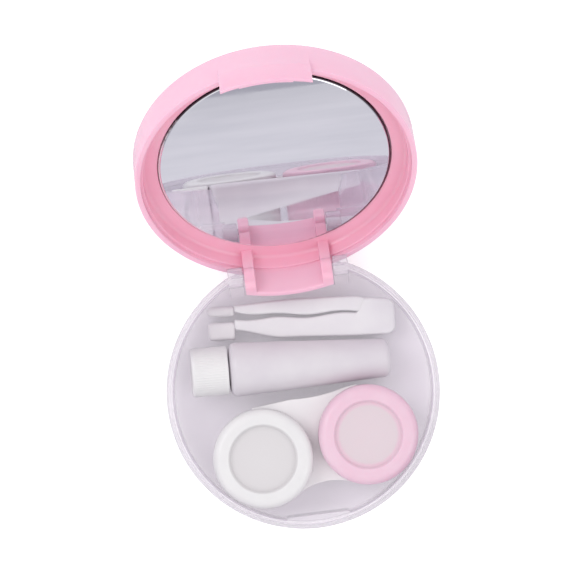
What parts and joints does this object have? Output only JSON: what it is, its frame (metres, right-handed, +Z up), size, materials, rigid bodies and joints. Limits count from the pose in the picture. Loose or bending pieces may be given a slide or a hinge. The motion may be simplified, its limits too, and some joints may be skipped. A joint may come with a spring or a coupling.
{
  "type": "contact lens case",
  "caption": "Round contact lens travel case: clear tray with lens holder, bottle and tweezers, and a hinged pink mirror lid with a glitter panel and gold charms.",
  "frame": {"origin": "centre of the clear tray's flat underside, on the table", "axes": "+Z up; -Y to the front, where the latch closes; +Y to the hinge; +X to the right"},
  "size_m": [0.0752, 0.1283, 0.0667],
  "materials": {
    "clear_tray": "clear, faint lilac, polished moulding",
    "pink_lid": "glossy opaque pink",
    "mirror_glass": "silvered glass with an eased edge",
    "adhesive": "thin foam tape",
    "pink_resin": "clear pink resin with gold glitter",
    "gold_charm": "bright gold plating",
    "holder_plastic": "translucent natural polypropylene",
    "white_cap": "soft gloss white",
    "pink_cap": "soft gloss pale pink",
    "frosted_bottle": "frosted translucent",
    "white_plug": "soft white",
    "white_tweezer": "white, satin",
    "soft_tip": "translucent silicone"
  },
  "bodies": {
    "tray": {"base_tray": "clear_tray"},
    "lid": {"lid_shell": "pink_lid", "lid_mirror": "mirror_glass", "mirror_pad": "adhesive", "resin_inlay": "pink_resin", "charm_moon": "gold_charm", "charm_star": "gold_charm", "charm_open_star": "gold_charm", "charm_planet": "gold_charm", "charm_starburst": "gold_charm"},
    "lens_holder": {"lens_case_body": "holder_plastic"},
    "left_cap": {"left_well_cap": "white_cap"},
    "right_cap": {"right_well_cap": "pink_cap"},
    "bottle": {"bottle_body": "frosted_bottle", "bottle_plug": "white_plug"},
    "bottle_cap": {"bottle_cap": "white_cap"},
    "tweezers": {"tweezer_lower_arm": "white_tweezer", "tweezer_lower_tip": "soft_tip"},
    "tweezer_upper": {"tweezer_upper_arm": "white_tweezer", "tweezer_upper_tip": "soft_tip"}
  },
  "joints": [
    {"name": "lid_hinge", "type": "hinge", "parent": "tray", "child": "lid", "pos_m": [0, 0.0329, 0.0139], "axis": [1, 0, 0], "range_deg": [0, 134]},
    {"name": "lens_holder_lift", "type": "slide", "parent": "tray", "child": "lens_holder", "axis": [0, 0, 1], "range_m": [0, 0.045]},
    {"name": "left_cap_lift", "type": "slide", "parent": "lens_holder", "child": "left_cap", "axis": [0, 0, 1], "range_m": [0, 0.02]},
    {"name": "right_cap_lift", "type": "slide", "parent": "lens_holder", "child": "right_cap", "axis": [0, 0, 1], "range_m": [0, 0.02]},
    {"name": "bottle_lift", "type": "slide", "parent": "tray", "child": "bottle", "axis": [0, 0, 1], "range_m": [0, 0.045]},
    {"name": "bottle_cap_turn", "type": "hinge", "parent": "bottle", "child": "bottle_cap", "pos_m": [-0.0296, 0.0087, 0.0099], "axis": [-0.9976, 0.0453, 0.0527], "range_deg": [0, 450]},
    {"name": "tweezers_lift", "type": "slide", "parent": "tray", "child": "tweezers", "axis": [0, 0, 1], "range_m": [0, 0.045]},
    {"name": "tweezers_squeeze", "type": "hinge", "parent": "tweezers", "child": "tweezer_upper", "pos_m": [0.01954, 0.02142, 0.00182], "axis": [0, 0, 1], "range_deg": [0, 2]}
  ]
}
